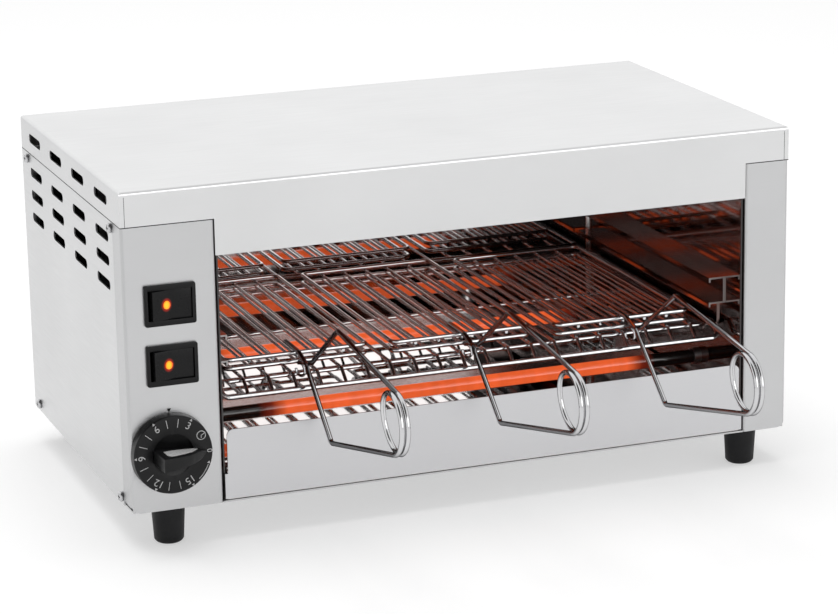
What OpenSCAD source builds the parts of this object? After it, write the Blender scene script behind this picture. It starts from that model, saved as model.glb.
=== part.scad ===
// Toasting grill for the counter: an open-fronted sheet-metal case with quartz tube heaters,
// a wire rack on rails and three spring tongs that hold the food.
// All sizes are in millimetres. While drawing, x = 0 is the left side of the case, y = 0 its front
// and z = 0 its underside. At the end everything moves so that the origin lies under the middle.

/* [Case] */
// Width of the case
case_w = 440; // [420:1:520]
// Depth of the case, front to back
case_d = 245; // [240:1:300]
// Height of the case without its feet
case_h = 200; // [195:1:240]
// Thickness of the sheet metal
sheet = 1; // [0.8:0.1:1.2]
// Outside radius of the folded edges
bend_r = 2; // [1.4:0.1:3]
// Width of the control column at the left
left_column_w = 58; // [54:1:66]
// Width of the column at the right
right_column_w = 30; // [28:1:40]
// How far a column reaches round onto the side
column_wrap = 18; // [14:1:24]
// Rounding of the lower outer corner of a column
column_corner_r = 6; // [3:0.5:8]
// Height of the cover flanges at the sides and the back
cover_drop = 21.5; // [18:0.5:26]
// Height of the fascia above the opening
fascia_h = 44; // [36:1:50]
// Step from the edge of a column to the inner wall beside it
wall_step = 2; // [1.5:0.1:3]
// Gap between neighbouring sheets
seam = 0.15; // [0.1:0.05:0.3]

/* [Slots in the sides] */
// Length of one slot
slot_l = 30; // [20:1:40]
// Height of one slot
slot_w = 6; // [4:0.5:8]
// Distance of the last slot from the rear
slot_last_gap = 37; // [30:1:60]
// Distance of the first slot from the front
slot_first_y = 43; // [42:1:50]
// Distance from row to row
slot_row_pitch = 15; // [10:0.5:18]
// Distance of the uppermost panel row below the cover flange
slot_row_drop = 12; // [8:0.5:16]

/* [Feet and screws] */
// Height of a foot
foot_h = 24; // [16:1:36]
// Width of a foot where it meets the case
foot_top_d = 21; // [19:0.5:24]
// Width of a foot at the table
foot_bottom_d = 18.4; // [16:0.2:20]
// Distance of the feet from the sides
foot_inset_x = 26; // [16:1:34]
// Distance of the feet from the front and the back
foot_inset_y = 13; // [12:0.5:24]
// Thread of the foot screws
foot_screw_d = 4; // [3:0.5:5]
// Thread of the panel screws
screw_d = 3.2; // [2.8:0.1:4]
// Head of the panel screws
screw_head_d = 6.6; // [5.6:0.1:8]

/* [Heaters] */
// Outside of a quartz tube
tube_d = 9; // [8:0.5:11]
// Wall of a quartz tube
tube_wall = 1; // [0.8:0.1:1.4]
// Distance of the front tubes from the front
tube_front_y = 63; // [56:1:76]
// Distance from the front tubes to the rear tubes
tube_span = 126; // [100:1:140]
// Height of the lower tubes
low_tube_z = 35.5; // [33:0.5:42]
// Distance of the upper tubes below the top
high_tube_drop = 50; // [44:1:52]
// Length of a tube bush inside the chamber
bush_l = 5; // [3:0.5:8]
// Distance of the top reflector below the top
reflector_drop = 32; // [28:0.5:36]

/* [Rack and rails] */
// Wire of the rack frame
rack_wire_d = 3.2; // [2.8:0.1:3.8]
// Wire of the rack fingers
finger_d = 2.2; // [1.8:0.1:2.6]
// Number of rack fingers
finger_count = 20; // [14:1:22]
// Height of the rack fingers
rack_z = 67.5; // [64:0.5:72]
// Distance of the front rack wire from the front
rack_front_y = 20; // [18:0.5:22]
// How far the front rack wire lies below the fingers
rack_front_drop = 7.7; // [6:0.1:9]
// Distance from the front rack wire to the bend of the fingers
rack_slope_l = 10; // [9:0.5:12]
// Distance of the rack side wires from the inner walls
rack_side_gap = 6; // [5:0.5:8]
// Width of a rail ledge
ledge_w = 11; // [10:0.5:13]
// Distance from ledge to ledge
ledge_pitch = 16.5; // [14:0.5:20]
// Lip that hangs from the edge of a ledge
ledge_lip = 3; // [2:0.5:4]
// Distance of the rails from the front
rail_front_y = 25; // [22:0.5:30]

/* [Tongs] */
// Width of a tong grid between the wire middles
grid_w = 93; // [80:1:97]
// Distance of the tong grids from the back sheet, to the middle of the rear wire
grid_back_gap = 14.9; // [12:0.1:40]
// Distance of the tong grids from the front
grid_front_y = 45; // [42:0.5:48]
// Wire of the grid frames
frame_d = 2.8; // [2.4:0.1:3.2]
// Wire of the grid bars
grid_bar_d = 2; // [1.6:0.1:2.2]
// Number of bars in a grid
grid_bar_count = 5; // [4:1:12]
// Corner radius of the grid frames
grid_corner_r = 4.5; // [3.5:0.5:8]
// Height of the upper grid above the lower one
grid_rise = 5.7; // [5.5:0.1:7]
// Share of the free width of the rack that lies between two tongs
tong_spread = 0.296; // [0.1:0.002:0.34]
// Share of that free width by which the middle tong stands off the middle
tong_lean = -0.066; // [-0.1:0.002:0.1]
// How far the left tong is drawn out
tong_1_out = 0; // [0:0.5:12]
// How far the middle tong is drawn out
tong_2_out = 3.5; // [0:0.5:12]
// How far the right tong is drawn out
tong_3_out = 10; // [0:0.5:12]
// Wire of the tong handles
handle_d = 3.1; // [2.6:0.1:3.4]
// Gap between the two handle wires where they pass each other
handle_gap = 0.5; // [0.4:0.05:0.8]
// Radius of the bends in the handles
handle_bend_r = 5; // [4:0.5:7]
// Distance from the grids to the crossing of the handles
cross_reach = 24; // [20:0.5:28]
// Distance from the grids to the high bend of a handle
peak_reach = 76; // [68:1:84]
// Height of the high bend above the grids
peak_rise = 36.5; // [30:0.5:42]
// Distance from the grids to the low bend of a handle
dip_reach = 70; // [64:1:76]
// Depth of the low bend below the grids
dip_drop = 35.7; // [32:0.5:38]
// Distance from the grids to the middle of the spring ring
ring_reach = 178; // [160:1:190]
// Height of the spring ring above the grids
ring_rise = 8; // [4:0.5:12]
// Radius of the spring ring
ring_r = 18; // [15:0.5:22]
// Radius of the small eye beside the crossing
eye_r = 4; // [3:0.5:5]
// Wire of the small eye
eye_d = 1.8; // [1.6:0.1:2.8]

/* [Crumb tray] */
// Height of the upper edge of the tray front
tray_top_z = 46; // [42:0.5:48]
// Gap between the tray front and the columns at the bottom
tray_gap = 1.3; // [1:0.1:1.8]
// Height where the tray front becomes narrower
tray_step_z = 18; // [14:1:24]
// How much narrower the tray front is above the step, at each side
tray_step = 2; // [1:0.1:2.5]
// Rounding of the upper corners of the tray front
tray_corner_r = 4; // [2:0.5:6]
// Height of the tray walls
tray_wall_h = 18; // [12:1:22]

/* [Controls] */
// Distance of the switches from the left side
switch_x = 28.55; // [24:0.05:32]
// Height of the middle between the two switches
switch_z = 110.55; // [108:0.05:118]
// Distance from switch to switch
switch_pitch = 37.4; // [32:0.1:44]
// Width of a switch bezel
bezel_w = 32; // [32:0.5:36]
// Height of a switch bezel
bezel_h = 25.5; // [25:0.5:28]
// Width of the panel cut-out for a switch
cutout_w = 30; // [29:0.5:31]
// Height of the panel cut-out for a switch
cutout_h = 22; // [21.5:0.1:23]
// Tilt of a rocker to either side
rocker_tilt = 8; // [6:0.5:9]
// Width of the round lamp lens in a rocker
lens_d = 5; // [4:0.5:6]
// Distance of the timer knob from the left side
knob_x = 25.4; // [25:0.1:27]
// Height of the timer knob
knob_z = 37; // [34:0.5:44]
// Width of the knob skirt
knob_d = 50; // [40:1:51]
// Thickness of the knob skirt
skirt_h = 6.4; // [5:0.2:8]
// Height of the knob grip above the skirt
grip_h = 20; // [16:0.5:24]
// Width of the timer shaft
shaft_d = 6; // [4:0.5:6]
// Running clearance around shafts and pivot pins
run_gap = 0.05; // [0.03:0.01:0.08]

/* [Cable inlet] */
// Bore of the cable gland
gland_bore_d = 8; // [6:0.5:10]
// Thread of the cable gland
gland_d = 16; // [15:0.5:18]
// How far the cable gland stands out at the back
gland_out = 14; // [10:0.5:18]
// Height of the cable gland
gland_z = 30; // [24:1:60]

/* [Hidden] */
$fn = 48;
// Overlap of welded wires
weld = 0.3;
// Rest gap between pieces that slide on each other
rest_gap = 0.3;
// Gap between welded pieces that stay separate solids
joint_gap = 0.15;
// Collars that join straight and bent wire: how much wider, how long, and the room each side leaves
collar_swell = 0.06;
collar_l = 0.7;
collar_room = 0.1;
// Heights and inner faces of the case
column_h = case_h - cover_drop;
opening_z = case_h - fascia_h;
left_wall_x = left_column_w + wall_step;
right_wall_x = case_w - right_column_w - wall_step;
chamber_w = right_wall_x - left_wall_x;
chamber_mid_x = (left_wall_x + right_wall_x) / 2;
back_y = case_d - 2 * sheet - 0.1;
reflector_z = case_h - reflector_drop;
wall_top_z = column_h - 2;
// Depth of the folds behind the columns, of the joint strips and of the rear flanges
return_d = 12;
strip_d = 24;
strip_y = column_wrap - strip_d / 2;
rear_flange_d = 22;
// Lower edge of the strip that carries the rear flange of the cover
rear_strip_z = reflector_z + sheet + 0.5;
// Front edges and folds of the inner walls, the top reflector and the base pan
wall_front_y = 2;
wall_flange_w = 10;
reflector_front_y = 12;
reflector_fold = 7;
pan_flange_h = 12;
// Distance from slot to slot
slot_pitch = (case_d - slot_first_y - slot_last_gap) / 3;
// Places of the side screws
screw_y = [column_wrap + 4, case_d - 15];
screw_z = [5, column_h - 4.5];
// Places of the rear screws
rear_screw_inset = 70;
rear_screw_x = [rear_screw_inset, case_w / 2, case_w - rear_screw_inset];
rear_screw_z = column_h + 9;
// Tubes, bushes and caps
tube_y = [tube_front_y, tube_front_y + tube_span];
tube_z = [low_tube_z, case_h - high_tube_drop];
tube_out = 9;
tube_x0 = left_wall_x - sheet - tube_out;
tube_l = chamber_w + 2 * sheet + 2 * tube_out;
bush_d = tube_d + 2;
cap_d = tube_d + 4;
cap_grip = 5;
cap_l = cap_grip + 6;
plug_l = 2;
stud_d = 4;
// Rack and rails
rack_x0 = left_wall_x + rack_side_gap;
rack_x1 = right_wall_x - rack_side_gap;
rack_front_z = rack_z - rack_front_drop;
rack_bend_y = rack_front_y + rack_slope_l;
rack_rear_y = back_y - 10;
finger_pitch = (rack_x1 - rack_x0) / (finger_count + 1);
rack_slope = atan2(rack_front_drop, rack_slope_l);
rack_bend_r = 4;
rack_corner_r = 5;
cross_d = 2.4;
cross_z = rack_z - (finger_d + cross_d) / 2 + weld;
cross_x0 = left_wall_x + ledge_w + 3;
cross_x1 = right_wall_x - ledge_w - 3;
ledge_z = rack_z - rack_wire_d / 2 - rest_gap;
low_ledge_y = rack_bend_y + 4;
rail_l = back_y - 4 - rail_front_y;
// Length of the tong grids and their heights, one above the other
grid_l = back_y - grid_back_gap - grid_front_y;
low_grid_z = rack_z + finger_d / 2 + rest_gap + frame_d / 2;
high_grid_z = low_grid_z + grid_rise;
tong_z = (low_grid_z + high_grid_z) / 2;
bar_drop = (frame_d + grid_bar_d) / 2 - weld;
// Tong places, from the width that the grids leave free between the side wires of the rack
tong_w = grid_w + frame_d;
free_w = rack_x1 - rack_x0 - rack_wire_d - 3 * tong_w;
tong_pitch = tong_w + free_w * tong_spread;
tong_shift = free_w * tong_lean;
tong_x = [chamber_mid_x + tong_shift - tong_pitch, chamber_mid_x + tong_shift,
  chamber_mid_x + tong_shift + tong_pitch];
tong_out = [tong_1_out, tong_2_out, tong_3_out];
// Points of the handle wires, y and z
handle_side = (handle_d + handle_gap) / 2;
cross_point = [grid_front_y - cross_reach, tong_z + 1.9];
peak_point = [grid_front_y - peak_reach, tong_z + peak_rise];
dip_point = [grid_front_y - dip_reach, tong_z - dip_drop];
ring_point = [grid_front_y - ring_reach, tong_z + ring_rise];
tail_z = high_grid_z + (frame_d + handle_d) / 2 + joint_gap;
// Turn of the small eye beside the crossing, and its place behind and above it
eye_turn = 25;
eye_back = 2;
eye_up = 0.5;
// Angles where the straight handle wires meet the ring
peak_angle = touch_angle(peak_point, 1);
dip_angle = touch_angle(dip_point, -1);
// Spring ring: distance of its two turns, half turn between them and free angle before its end
coil_step = 2 * handle_side;
coil_turn_r = sqrt(ring_r * ring_r + coil_step * coil_step / 4);
coil_tilt = asin(coil_step / 2 / coil_turn_r);
coil_end_free = 2;
// Crumb tray
tray_floor_z = sheet + rest_gap;
tray_x0 = left_wall_x + 1;
tray_x1 = right_wall_x - 1;
tray_rear_y = back_y - 4;
// Controls
switch_zs = [switch_z + switch_pitch / 2, switch_z - switch_pitch / 2];
body_gap = 0.2;
window_w = 27.6;
window_h = 18.8;
switch_depth = 20;
bezel_t = 1.8;
pivot_y = 4;
pivot_d = 2.4;
rocker_w = 25.2;
rocker_h = window_h - 0.6;
rocker_edge = 6.6;
rocker_dip = 4.8;
rocker_back = 4;
wing_angle = atan2(rocker_edge - rocker_dip, rocker_w / 2);
lens_x = -3;
lens_t = 1.6;
knob_gap = 0.6;
// Draft of the skirt and its bevelled edge
skirt_draft = 0.8;
skirt_edge = 0.6;
dial_d = knob_d - skirt_draft;
// Wing grip: its size against the skirt, its half thickness at the blunt end, and the shaft's reach into it
grip_scale = knob_d / 50;
grip_half = 4.3;
shaft_grip = 0.5;
// Corners of the light insert on the flank of the grip
insert_points = [for (p = [[4.7, 0.22], [10.5, 0.13], [16.2, 0.1], [23.8, 0.07], [26.6, 0.14],
  [21.7, 0.41], [16.9, 0.53], [9.4, 0.69], [7, 0.7], [5.2, 0.6]]) [p[0] * grip_scale, -p[1] * grip_h]];
// Finger hollows beside the grip
hollow_r = 13 * grip_scale;
hollow_tilt = 15;
timer_d = 44;
timer_depth = 26;
shaft_in = 12;
// Cable inlet
gland_x = left_column_w / 2;
gland_in = 9;
gland_nut_t = 4;
// Ends of the whole part, front and back
front_end_y = ring_point[0] - max(tong_out) - ring_r - handle_d / 2;
back_end_y = case_d + gland_out;
middle_y = (front_end_y + back_end_y) / 2;

// Angle on the ring where a straight line from a point touches it
function touch_angle(point, side) =
  atan2(point[1] - ring_point[1], point[0] - ring_point[0])
  + side * acos(ring_r / norm(point - ring_point));
// Point of the ring at an angle
function ring_at(angle) = ring_point + ring_r * [cos(angle), sin(angle)];
// Direction from one point of a line to the next
function heading(points, i) = (points[i + 1] - points[i]) / norm(points[i + 1] - points[i]);
// Turn of a line at one of its points, counter-clockwise positive
function turn_at(points, i) =
  let (a = heading(points, i - 1), b = heading(points, i))
  atan2(a[0] * b[1] - a[1] * b[0], a[0] * b[0] + a[1] * b[1]);
// Length that a bend takes from each of its two legs
function trim_at(points, i, r) = r * tan(abs(turn_at(points, i)) / 2);
// Length by which a straight piece of a line ends before a point
function short_at(points, i, r, ends) =
  i == 0 ? ends[0] : i == len(points) - 1 ? ends[1] : trim_at(points, i, r) + collar_room;

// Angle of a ring that is left free for a collar
function free_angle(r) = collar_room / r * 180 / PI;

// Moves the drawing so that the origin lies on the table under the middle of the part
module in_place() {
  translate([-case_w / 2, -middle_y, foot_h]) children();
}

// Draws a left-hand piece at the right
module at_right() {
  translate([case_w, 0, 0]) mirror([1, 0, 0]) children();
}

// Turns a flat drawing so that its axes run along y and z
module upright() {
  rotate([90, 0, 90]) children();
}

// Round rod between two points
module rod(a, b, d) {
  span = b - a;
  translate(a)
    rotate([0, acos(span[2] / norm(span)), atan2(span[1], span[0])])
      cylinder(d = d, h = norm(span));
}

// Collar that joins two pieces of wire in the plane of x and y, along a direction
module collar(point, along, d) {
  translate([point[0], point[1], 0])
    rotate([0, 0, atan2(along[1], along[0])])
      rotate([0, 90, 0])
        cylinder(d = d + collar_swell, h = collar_l, center = true);
}

// Part of a wire ring in the plane of x and y
module ring_part(middle, r, d, from, turn) {
  translate([middle[0], middle[1], 0])
    rotate([0, 0, from])
      rotate_extrude(angle = turn)
        translate([r, 0])
          circle(d = d);
}

// Wire bent along flat points, every bend with the same radius; the free ends can be cut shorter
module bent_wire(points, d, r, ends = [0, 0]) {
  last = len(points) - 1;
  for (i = [0 : last - 1]) {
    a = points[i] + heading(points, i) * short_at(points, i, r, ends);
    b = points[i + 1] - heading(points, i) * short_at(points, i + 1, r, ends);
    rod([a[0], a[1], 0], [b[0], b[1], 0], d);
  }
  for (i = [1 : last - 1]) {
    turn = turn_at(points, i);
    go = heading(points, i - 1);
    inward = sign(turn) * [-go[1], go[0]];
    middle = points[i] - go * trim_at(points, i, r) + inward * r;
    start = atan2(-inward[1], -inward[0]);
    room = free_angle(r);
    ring_part(middle, r, d, min(start, start + turn) + room, abs(turn) - 2 * room);
    collar(points[i] - go * trim_at(points, i, r), go, d);
    collar(points[i] + heading(points, i) * trim_at(points, i, r), heading(points, i), d);
  }
}

// Flat sheet outline with two rounded upper corners
module arched(w, h, r) {
  square([w, h - r]);
  translate([r, 0]) square([w - 2 * r, h]);
  translate([r, h - r]) circle(r);
  translate([w - r, h - r]) circle(r);
}

// Flat rectangle about the middle with four rounded corners
module rounded(w, h, r) {
  square([w - 2 * r, h], center = true);
  square([w, h - 2 * r], center = true);
  for (x = [-1, 1]) {
    for (y = [-1, 1]) {
      translate([x * (w / 2 - r), y * (h / 2 - r)]) circle(r);
    }
  }
}

// Cutter for one slot through a sheet that stands across x
module slot(y, z) {
  translate([-1, y, z])
    rotate([0, 90, 0])
      linear_extrude(2 * sheet + 2) {
        square([slot_w, slot_l - slot_w], center = true);
        translate([0, (slot_l - slot_w) / 2]) circle(d = slot_w);
        translate([0, -(slot_l - slot_w) / 2]) circle(d = slot_w);
      }
}

// Row of slots at one height
module slot_row(z) {
  for (i = [0 : 3]) {
    slot(slot_first_y + i * slot_pitch, z);
  }
}

// Cutters for the four screw holes of a side
module side_holes(d, ys) {
  for (y = ys) {
    for (z = screw_z) {
      translate([-1, y, z]) rotate([0, 90, 0]) cylinder(d = d, h = 4 * sheet + 2);
    }
  }
}

// Pan-head screw along x, its head outside
module pan_screw(reach) {
  rotate([0, 90, 0]) {
    translate([0, 0, -2.2]) cylinder(d1 = screw_head_d - 1.6, d2 = screw_head_d, h = 2.2);
    cylinder(d = screw_d, h = reach);
  }
}

// Box of the cover with rounded upper edges, made smaller all round
module cover_block(inset, extra) {
  w = case_w - 2 * inset;
  d = case_d - 2 * inset;
  h = fascia_h - inset + extra;
  r = bend_r - inset;
  translate([inset, inset, opening_z - extra])
    intersection() {
      translate([0, d, 0]) rotate([90, 0, 0]) linear_extrude(d) arched(w, h, r);
      rotate([90, 0, 90]) linear_extrude(w) arched(d, h, r);
    }
}

// Top cover with its fascia tongue between the columns
module top_cover() {
  color("lightgray") in_place() {
    low = column_h - opening_z;
    difference() {
      cover_block(0, 0);
      cover_block(sheet, 2);
      translate([-1, sheet, opening_z - 1]) cube([case_w + 2, case_d, low + 1]);
      translate([-1, -1, opening_z - 1]) cube([left_column_w + 1 + seam, sheet + 2, low + 1]);
      translate([case_w - right_column_w - seam, -1, opening_z - 1])
        cube([right_column_w + 1 + seam, sheet + 2, low + 1]);
      slot_row(column_h + cover_drop / 2);
      at_right() slot_row(column_h + cover_drop / 2);
      for (x = rear_screw_x) {
        translate([x, case_d + 1, rear_screw_z])
          rotate([90, 0, 0])
            cylinder(d = screw_d + 0.4, h = 2 + sheet);
      }
    }
  }
}

// Folded column sheet with its joint strip, drawn as the left one
module column(w) {
  difference() {
    union() {
      linear_extrude(column_h - seam)
        difference() {
          translate([0, column_wrap]) mirror([0, 1]) arched(w, column_wrap, bend_r);
          translate([sheet, column_wrap + 1])
            mirror([0, 1]) arched(w - 2 * sheet, column_wrap + 1 - sheet, bend_r - sheet);
          translate([w - 2 * sheet, return_d]) square([3 * sheet, column_wrap]);
        }
      translate([sheet, strip_y, 2 * sheet]) cube([sheet, strip_d, column_h - 3 * sheet]);
    }
    translate([-1, -1, -1])
      difference() {
        cube([column_corner_r + 1, column_wrap + 2, column_corner_r + 1]);
        translate([column_corner_r + 1, -1, column_corner_r + 1])
          rotate([-90, 0, 0]) cylinder(r = column_corner_r, h = column_wrap + 4);
        translate([sheet + 1, 1 + sheet, -1])
          cube([column_corner_r + 2, column_wrap + 2, column_corner_r + 3]);
      }
    side_holes(screw_d + 0.2, [screw_y[0]]);
  }
}

// Control column with the cut-outs for the switches and the timer
module left_column() {
  color("silver") in_place()
    difference() {
      column(left_column_w);
      for (z = switch_zs) {
        translate([switch_x - cutout_w / 2, -1, z - cutout_h / 2]) cube([cutout_w, sheet + 2, cutout_h]);
      }
      translate([knob_x, -1, knob_z]) rotate([-90, 0, 0]) cylinder(d = shaft_d + 2, h = sheet + 2);
    }
}

// Plain column at the right
module right_column() {
  color("silver") in_place() at_right() column(right_column_w);
}

// Side panel with three rows of slots, drawn as the left one
module side_panel() {
  difference() {
    translate([0, column_wrap + seam, 0]) cube([sheet, case_d - column_wrap - seam, column_h - seam]);
    for (i = [0 : 2]) {
      slot_row(column_h - slot_row_drop - i * slot_row_pitch);
    }
    side_holes(screw_d + 0.4, screw_y);
  }
}

module left_side_panel() {
  color("gainsboro") in_place() side_panel();
}

module right_side_panel() {
  color("gainsboro") in_place() at_right() side_panel();
}

// Rear panel with side flanges, a strip under the cover flange, slots and the gland hole
module rear_panel() {
  color("gainsboro") in_place() {
    x0 = sheet + seam;
    difference() {
      union() {
        translate([x0, case_d - sheet, 0]) cube([case_w - 2 * x0, sheet, column_h - seam]);
        translate([x0, case_d - rear_flange_d, 2 * sheet])
          cube([sheet, rear_flange_d, column_h - 4 * sheet]);
        at_right()
          translate([x0, case_d - rear_flange_d, 2 * sheet])
            cube([sheet, rear_flange_d, column_h - 4 * sheet]);
        translate([left_wall_x + 1, case_d - 2 * sheet - seam, rear_strip_z])
          cube([chamber_w - 2, sheet + seam, wall_top_z - rear_strip_z]);
        translate([left_wall_x + 1, case_d - 2 * sheet - seam, rear_strip_z])
          cube([chamber_w - 2, sheet, wall_top_z + cover_drop - 2 - rear_strip_z]);
      }
      side_holes(screw_d + 0.2, [screw_y[1]]);
      at_right() side_holes(screw_d + 0.2, [screw_y[1]]);
      for (x = rear_screw_x) {
        translate([x, case_d + 1, rear_screw_z])
          rotate([90, 0, 0])
            cylinder(d = screw_d + 0.2, h = 6 * sheet);
      }
      for (i = [0 : 2]) {
        translate([gland_x, case_d + 1, column_h - 2 * slot_row_drop - i * slot_row_pitch])
          rotate([90, 0, 0]) linear_extrude(3 * sheet + 1) rounded(slot_l, slot_w, slot_w / 2 - 0.01);
      }
      translate([gland_x, case_d + 1, gland_z])
        rotate([90, 0, 0])
          cylinder(d = gland_d + 0.2, h = 4 * sheet);
    }
  }
}

// Base pan with a front lip under the tray and turned-up side flanges
module base_pan() {
  color("gainsboro") in_place() {
    x0 = sheet + seam;
    y0 = sheet + seam;
    flange_y0 = strip_y + strip_d + 2;
    flange_l = case_d - rear_flange_d - 2 - flange_y0;
    difference() {
      union() {
        translate([x0, y0, 0]) cube([case_w - 2 * x0, case_d - 2 * y0, sheet]);
        translate([left_column_w + seam, 0, 0])
          cube([case_w - left_column_w - right_column_w - 2 * seam, y0 + 1, sheet]);
        translate([x0, flange_y0, 0]) cube([sheet, flange_l, pan_flange_h]);
        at_right() translate([x0, flange_y0, 0]) cube([sheet, flange_l, pan_flange_h]);
      }
      foot_places() translate([0, 0, -1]) cylinder(d = foot_screw_d + 0.3, h = sheet + 2);
      translate([left_column_w - sheet - seam, -1, -1])
        cube([sheet + 2 * seam, return_d + seam + 1, sheet + 2]);
      translate([case_w - right_column_w - seam, -1, -1])
        cube([sheet + 2 * seam, return_d + seam + 1, sheet + 2]);
    }
  }
}

// Inner wall beside the chamber, drawn as the left one
module partition() {
  difference() {
    union() {
      translate([-sheet, wall_front_y, sheet])
        cube([sheet, back_y + sheet - wall_front_y, wall_top_z - sheet]);
      translate([-wall_flange_w, wall_front_y + return_d, sheet])
        cube([wall_flange_w, back_y - 2 * return_d, sheet]);
    }
    for (y = tube_y) {
      for (z = tube_z) {
        translate([-sheet - 1, y, z]) rotate([0, 90, 0]) cylinder(d = bush_d + 0.1, h = sheet + 2);
      }
    }
  }
}

module left_partition() {
  color("lightgray") in_place() translate([left_wall_x, 0, 0]) partition();
}

module right_partition() {
  color("lightgray") in_place()
    difference() {
      translate([right_wall_x, 0, 0]) mirror([1, 0, 0]) partition();
      foot_places() cylinder(d = foot_screw_d + 2, h = foot_h);
    }
}

// Bright sheet behind the chamber
module back_reflector() {
  color("lightgray") in_place()
    translate([left_wall_x, back_y, sheet]) cube([chamber_w, sheet, reflector_z - sheet]);
}

// Bright sheet over the upper tubes, its front edge folded down
module top_reflector() {
  color("lightgray") in_place() {
    translate([left_wall_x, reflector_front_y, reflector_z])
      cube([chamber_w, back_y + sheet - reflector_front_y, sheet]);
    translate([left_wall_x, reflector_front_y, reflector_z - reflector_fold])
      cube([chamber_w, sheet, reflector_fold]);
  }
}

// Rail with three ledges, drawn for the left wall
module rail() {
  for (i = [0 : 2]) {
    y0 = i == 0 ? low_ledge_y : rail_front_y;
    l = rail_front_y + rail_l - y0;
    z = ledge_z + i * ledge_pitch;
    translate([0, y0, z - sheet]) cube([ledge_w, l, sheet]);
    translate([ledge_w - sheet, y0, z - ledge_lip]) cube([sheet, l, ledge_lip]);
  }
  translate([0, low_ledge_y, ledge_z - sheet])
    cube([sheet, rail_front_y + rail_l - low_ledge_y, ledge_pitch]);
  translate([0, rail_front_y, ledge_z + ledge_pitch - sheet]) cube([sheet, rail_l, ledge_pitch + sheet]);
}

module left_rail() {
  color("silver") in_place() translate([left_wall_x, 0, 0]) rail();
}

module right_rail() {
  color("silver") in_place() translate([right_wall_x, 0, 0]) mirror([1, 0, 0]) rail();
}

// Quartz tube at one of the two depths and heights
module tube(row, level) {
  color("orangered") in_place()
    translate([tube_x0, tube_y[row], tube_z[level]])
      rotate([0, 90, 0])
        difference() {
          cylinder(d = tube_d, h = tube_l);
          translate([0, 0, -1]) cylinder(d = tube_d - 2 * tube_wall, h = tube_l + 2);
        }
}

module low_front_tube() {
  tube(0, 0);
}

module low_rear_tube() {
  tube(1, 0);
}

module high_front_tube() {
  tube(0, 1);
}

module high_rear_tube() {
  tube(1, 1);
}

// Places the children at the left end of each of the four tubes
module tube_places() {
  for (y = tube_y) {
    for (z = tube_z) {
      translate([0, y, z]) children();
    }
  }
}

// Heating elements inside the tubes, drawn as plain rods
module heater_coils() {
  color("orange") in_place() tube_places()
    translate([tube_x0 + plug_l, 0, 0])
      rotate([0, 90, 0]) cylinder(d = tube_d - 2 * tube_wall - 1.4, h = tube_l - 2 * plug_l);
}

// Bush around a tube in the wall, drawn for the left wall
module bush() {
  translate([-sheet - 2, 0, 0])
    rotate([0, 90, 0])
      difference() {
        cylinder(d = bush_d, h = bush_l + sheet + 2);
        translate([0, 0, -1]) cylinder(d = tube_d + 0.1, h = bush_l + sheet + 4);
      }
}

module tube_bushes() {
  color("gray") in_place() tube_places() {
    translate([left_wall_x, 0, 0]) bush();
    translate([right_wall_x, 0, 0]) mirror([1, 0, 0]) bush();
  }
}

// Ceramic cap on a tube end with its plug and stud, drawn for the left end
module cap() {
  rotate([0, 90, 0]) {
    difference() {
      translate([0, 0, cap_grip - cap_l]) cylinder(d = cap_d, h = cap_l);
      cylinder(d = tube_d + 0.1, h = cap_grip + 1);
    }
    translate([0, 0, -1]) cylinder(d = tube_d - 2 * tube_wall - 0.2, h = plug_l + 1);
    translate([0, 0, cap_grip - cap_l - 3]) cylinder(d = stud_d, h = 4);
  }
}

module tube_caps() {
  color("white") in_place() tube_places() {
    translate([tube_x0, 0, 0]) cap();
    translate([tube_x0 + tube_l, 0, 0]) mirror([1, 0, 0]) cap();
  }
}

// Strips that join the front and the rear tubes at the right
module link_straps() {
  color("goldenrod") in_place()
    for (z = tube_z) {
      translate([tube_x0 + tube_l + cap_l - cap_grip, 0, z])
        difference() {
          translate([0, tube_y[0] - 5, -4]) cube([1, tube_span + 10, 8]);
          for (y = tube_y) {
            translate([-1, y, 0]) rotate([0, 90, 0]) cylinder(d = stud_d + 0.1, h = 3);
          }
        }
    }
}

// Crumb tray: a folded pan with the lower front panel of the case
module crumb_tray() {
  color("lightgray") in_place() {
    front_x0 = left_column_w + tray_gap;
    front_w = case_w - right_column_w - tray_gap - front_x0;
    top_w = front_w - 2 * tray_step;
    low_z = tray_floor_z + 0.7;
    translate([0, sheet, 0])
      rotate([90, 0, 0])
        linear_extrude(sheet) {
          translate([front_x0, low_z]) square([front_w, tray_step_z - low_z]);
          translate([front_x0 + tray_step, low_z]) arched(top_w, tray_top_z - low_z, tray_corner_r);
        }
    translate([tray_x0, sheet, tray_floor_z])
      difference() {
        cube([tray_x1 - tray_x0, tray_rear_y - sheet, tray_wall_h]);
        translate([sheet, -sheet, sheet])
          cube([tray_x1 - tray_x0 - 2 * sheet, tray_rear_y - sheet, tray_wall_h]);
      }
  }
}

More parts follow.
